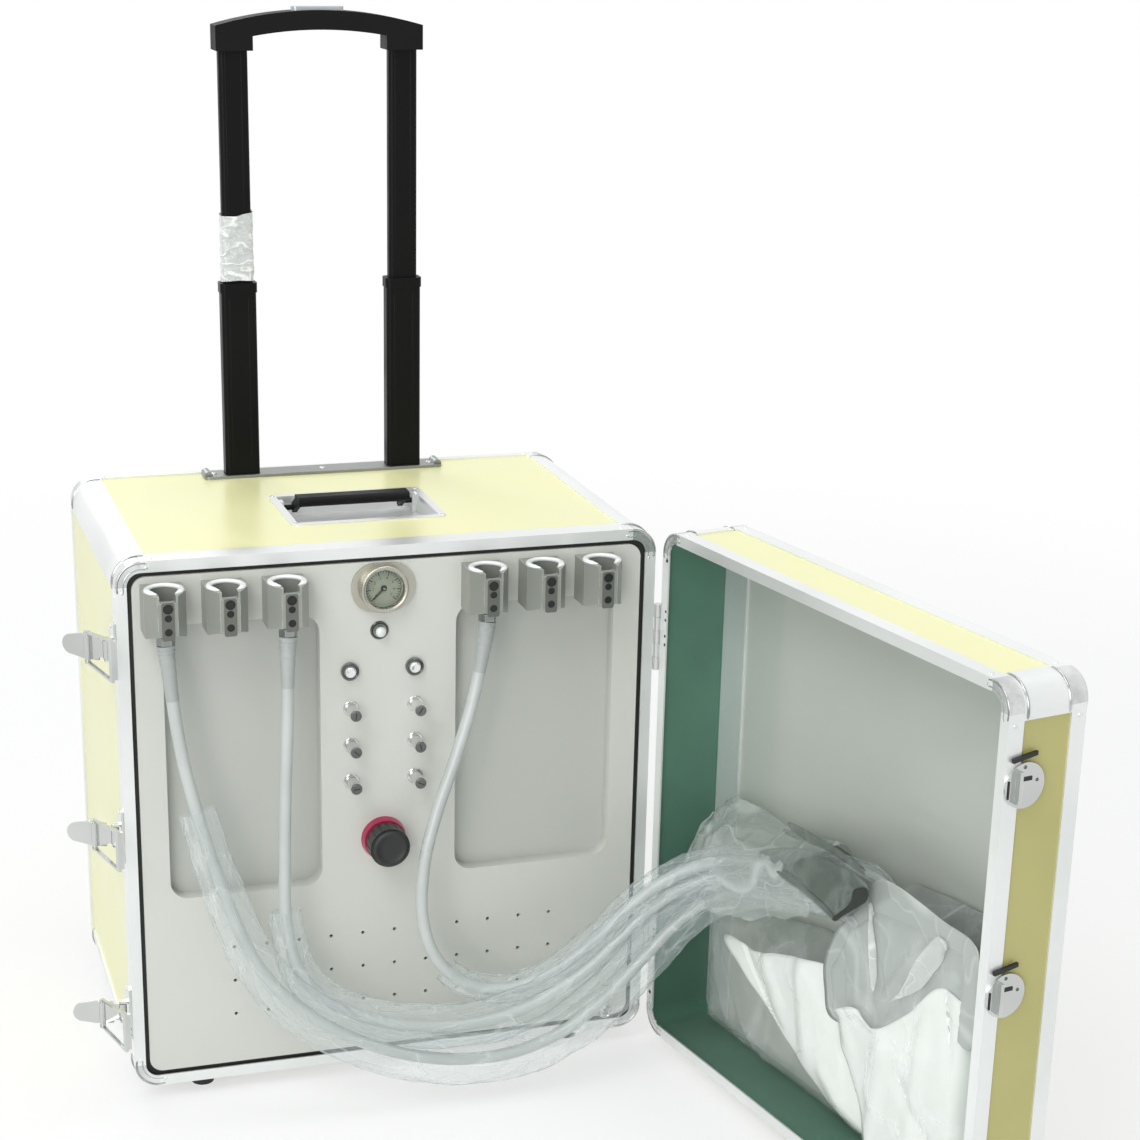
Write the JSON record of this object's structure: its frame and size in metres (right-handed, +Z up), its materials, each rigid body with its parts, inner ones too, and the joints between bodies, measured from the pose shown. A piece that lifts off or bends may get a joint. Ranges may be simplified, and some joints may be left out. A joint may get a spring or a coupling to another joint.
{
  "type": "portable dental unit",
  "caption": "Trolley case with a hinged door that opens on a dental control panel with handpiece holders, valves, gauge and air supply.",
  "frame": {"origin": "centre of the case's bottom face", "axes": "+X to the right as one faces the panel, towards the hinges; the panel faces -Y; +Z up"},
  "size_m": [0.6974, 0.8367, 0.935],
  "materials": {
    "case_top_board": "pale gold laminate on a board, satin",
    "case_boards": "pale gold laminate on boards, satin",
    "case_frames": "natural anodised profile",
    "case_edge_rails": "natural anodised profile",
    "case_corner_castings": "bright plated casting",
    "panel_mount_frame": "plain",
    "panel_seal": "black foam rubber",
    "front_panel": "light grey moulded plastic",
    "panel_fittings": "nickel plated",
    "handpiece_holders": "light grey moulded plastic with bright rims",
    "holder_plugs": "black",
    "gauge_case": "polished",
    "gauge_dial": "white dial with plain numbers",
    "gauge_needle": "black",
    "gauge_glass": "clear",
    "push_button_left": "white",
    "push_button_right": "white",
    "valve_knob_1": "satin nickel",
    "valve_knob_2": "satin nickel",
    "valve_knob_3": "satin nickel",
    "valve_knob_4": "satin nickel",
    "valve_knob_5": "satin nickel",
    "valve_knob_6": "satin nickel",
    "regulator_collar": "crimson",
    "regulator_knob": "black",
    "handle_sleeves": "plain",
    "handle_base_plate": "satin",
    "handle_lower_tubes": "black coated",
    "handle_upper_tubes": "black coated",
    "handle_grip": "black moulded plastic",
    "handle_button": "silver grey",
    "carry_tray": "satin",
    "carry_bar": "black",
    "rubber_feet": "dark grey",
    "wheel_brackets": "plain",
    "wheel_left": "black",
    "wheel_right": "black",
    "latch_bases": "nickel plated",
    "latch_lever_1": "nickel plated",
    "latch_hook_1": "nickel plated",
    "latch_lever_2": "nickel plated",
    "latch_hook_2": "nickel plated",
    "latch_lever_3": "nickel plated",
    "latch_hook_3": "nickel plated",
    "hinge_case_leaves": "nickel plated",
    "hinge_door_leaves": "nickel plated",
    "door_boards": "pale gold laminate on boards, satin",
    "door_frames": "natural anodised profile",
    "door_edge_rails": "natural anodised profile",
    "door_corner_castings": "bright plated casting",
    "door_liner": "dark green lining",
    "door_inner_panel": "grey",
    "door_keepers": "nickel plated",
    "door_pouches": "clear film, wrinkled",
    "hose_left": "grey hose in a clear film sleeve",
    "hose_middle": "grey hose in a clear film sleeve",
    "hose_right": "grey hose in a clear film sleeve",
    "hose_connectors": "plated",
    "compressor": "cast",
    "air_and_water_system": "painted"
  },
  "bodies": {
    "case": {"case_top_board": "case_top_board", "case_boards": "case_boards", "case_frames": "case_frames", "case_edge_rails": "case_edge_rails", "case_corner_castings": "case_corner_castings", "panel_mount_frame": "panel_mount_frame", "panel_seal": "panel_seal", "front_panel": "front_panel", "panel_fittings": "panel_fittings", "handpiece_holders": "handpiece_holders", "holder_plugs": "holder_plugs", "gauge_case": "gauge_case", "gauge_dial": "gauge_dial", "gauge_glass": "gauge_glass", "regulator_collar": "regulator_collar", "handle_sleeves": "handle_sleeves", "handle_base_plate": "handle_base_plate", "carry_tray": "carry_tray", "rubber_feet": "rubber_feet", "wheel_brackets": "wheel_brackets", "latch_bases": "latch_bases", "hinge_case_leaves": "hinge_case_leaves", "hose_left": "hose_left", "hose_middle": "hose_middle", "hose_right": "hose_right", "compressor": "compressor", "air_and_water_system": "air_and_water_system"},
    "door": {"door_boards": "door_boards", "door_frames": "door_frames", "door_edge_rails": "door_edge_rails", "door_corner_castings": "door_corner_castings", "door_liner": "door_liner", "door_inner_panel": "door_inner_panel", "door_keepers": "door_keepers", "door_pouches": "door_pouches", "hinge_door_leaves": "hinge_door_leaves", "hose_connectors": "hose_connectors"},
    "gauge_pointer": {"gauge_needle": "gauge_needle"},
    "button_left": {"push_button_left": "push_button_left"},
    "button_right": {"push_button_right": "push_button_right"},
    "pressure_knob": {"regulator_knob": "regulator_knob"},
    "handle_lower": {"handle_lower_tubes": "handle_lower_tubes"},
    "handle_upper": {"handle_upper_tubes": "handle_upper_tubes", "handle_grip": "handle_grip"},
    "release_button": {"handle_button": "handle_button"},
    "carry_handle": {"carry_bar": "carry_bar"},
    "left_wheel": {"wheel_left": "wheel_left"},
    "right_wheel": {"wheel_right": "wheel_right"},
    "knob_1": {"valve_knob_1": "valve_knob_1"},
    "knob_2": {"valve_knob_2": "valve_knob_2"},
    "knob_3": {"valve_knob_3": "valve_knob_3"},
    "knob_4": {"valve_knob_4": "valve_knob_4"},
    "knob_5": {"valve_knob_5": "valve_knob_5"},
    "knob_6": {"valve_knob_6": "valve_knob_6"},
    "lever_1": {"latch_lever_1": "latch_lever_1"},
    "hook_1": {"latch_hook_1": "latch_hook_1"},
    "lever_2": {"latch_lever_2": "latch_lever_2"},
    "hook_2": {"latch_hook_2": "latch_hook_2"},
    "lever_3": {"latch_lever_3": "latch_lever_3"},
    "hook_3": {"latch_hook_3": "latch_hook_3"}
  },
  "joints": [
    {"name": "door_hinge", "type": "hinge", "parent": "case", "child": "door", "pos_m": [0.244, -0.153, 0.245], "axis": [0, 0, 1], "range_deg": [-101, 14], "deforming": ["hose_left", "hose_middle", "hose_right"]},
    {"name": "gauge_pointer_turn", "type": "hinge", "parent": "case", "child": "gauge_pointer", "pos_m": [-0.01, -0.1565, 0.453], "axis": [0, 1, 0], "range_deg": [0, 270], "stiffness_Nm_per_rad": 0.002},
    {"name": "button_left_press", "type": "slide", "parent": "case", "child": "button_left", "axis": [0, 1, 0], "range_m": [0, 0.002], "stiffness_N_per_m": 300},
    {"name": "button_right_press", "type": "slide", "parent": "case", "child": "button_right", "axis": [0, 1, 0], "range_m": [0, 0.002], "stiffness_N_per_m": 300},
    {"name": "knob_1_turn", "type": "hinge", "parent": "case", "child": "knob_1", "pos_m": [-0.039, -0.1615, 0.344], "axis": [0, 1, 0], "range_deg": [-360, 360]},
    {"name": "knob_2_turn", "type": "hinge", "parent": "case", "child": "knob_2", "pos_m": [-0.039, -0.1615, 0.31], "axis": [0, 1, 0], "range_deg": [-360, 360]},
    {"name": "knob_3_turn", "type": "hinge", "parent": "case", "child": "knob_3", "pos_m": [-0.039, -0.1615, 0.276], "axis": [0, 1, 0], "range_deg": [-360, 360]},
    {"name": "knob_4_turn", "type": "hinge", "parent": "case", "child": "knob_4", "pos_m": [0.019, -0.1615, 0.344], "axis": [0, 1, 0], "range_deg": [-360, 360]},
    {"name": "knob_5_turn", "type": "hinge", "parent": "case", "child": "knob_5", "pos_m": [0.019, -0.1615, 0.31], "axis": [0, 1, 0], "range_deg": [-360, 360]},
    {"name": "knob_6_turn", "type": "hinge", "parent": "case", "child": "knob_6", "pos_m": [0.019, -0.1615, 0.276], "axis": [0, 1, 0], "range_deg": [-360, 360]},
    {"name": "pressure_knob_turn", "type": "hinge", "parent": "case", "child": "pressure_knob", "pos_m": [-0.01, -0.1695, 0.219], "axis": [0, 1, 0], "range_deg": [-540, 540]},
    {"name": "handle_lower_slide", "type": "slide", "parent": "case", "child": "handle_lower", "axis": [0, 0, 1], "range_m": [-0.17, 0]},
    {"name": "handle_upper_slide", "type": "slide", "parent": "handle_lower", "child": "handle_upper", "axis": [0, 0, 1], "range_m": [-0.2, 0]},
    {"name": "release_button_press", "type": "slide", "parent": "handle_upper", "child": "release_button", "axis": [0, 0, -1], "range_m": [0, 0.0025], "stiffness_N_per_m": 800},
    {"name": "carry_handle_lift", "type": "hinge", "parent": "case", "child": "carry_handle", "pos_m": [0, 0.024, 0.482], "axis": [-1, 0, 0], "range_deg": [0, 96]},
    {"name": "left_wheel_roll", "type": "hinge", "parent": "case", "child": "left_wheel", "pos_m": [-0.192, 0.1795, 0.009], "axis": [1, 0, 0], "continuous": true},
    {"name": "right_wheel_roll", "type": "hinge", "parent": "case", "child": "right_wheel", "pos_m": [0.192, 0.1795, 0.009], "axis": [1, 0, 0], "continuous": true},
    {"name": "latch_1_lever", "type": "hinge", "parent": "case", "child": "lever_1", "pos_m": [-0.247, -0.1405, 0.412], "axis": [0, 0, 1], "range_deg": [-46, 40]},
    {"name": "latch_1_hook", "type": "hinge", "parent": "lever_1", "child": "hook_1", "pos_m": [-0.2624, -0.13084, 0.412], "axis": [0, 0, 1], "range_deg": [-23.6, 27.2]},
    {"name": "latch_2_lever", "type": "hinge", "parent": "case", "child": "lever_2", "pos_m": [-0.247, -0.1405, 0.242], "axis": [0, 0, 1], "range_deg": [-58, 28]},
    {"name": "latch_2_hook", "type": "hinge", "parent": "lever_2", "child": "hook_2", "pos_m": [-0.26407, -0.13426, 0.242], "axis": [0, 0, 1], "range_deg": [-19, 39.1]},
    {"name": "latch_3_lever", "type": "hinge", "parent": "case", "child": "lever_3", "pos_m": [-0.247, -0.1405, 0.072], "axis": [0, 0, 1], "range_deg": [-72, 14]},
    {"name": "latch_3_hook", "type": "hinge", "parent": "lever_3", "child": "hook_3", "pos_m": [-0.26507, -0.13857, 0.072], "axis": [0, 0, 1], "range_deg": [-10.5, 53.1]}
  ],
  "couplings": [
    {"joint": "latch_1_hook", "follows": "latch_1_lever", "ratio": -0.587},
    {"joint": "latch_2_hook", "follows": "latch_2_lever", "ratio": -0.6724},
    {"joint": "latch_3_hook", "follows": "latch_3_lever", "ratio": -0.7361}
  ]
}
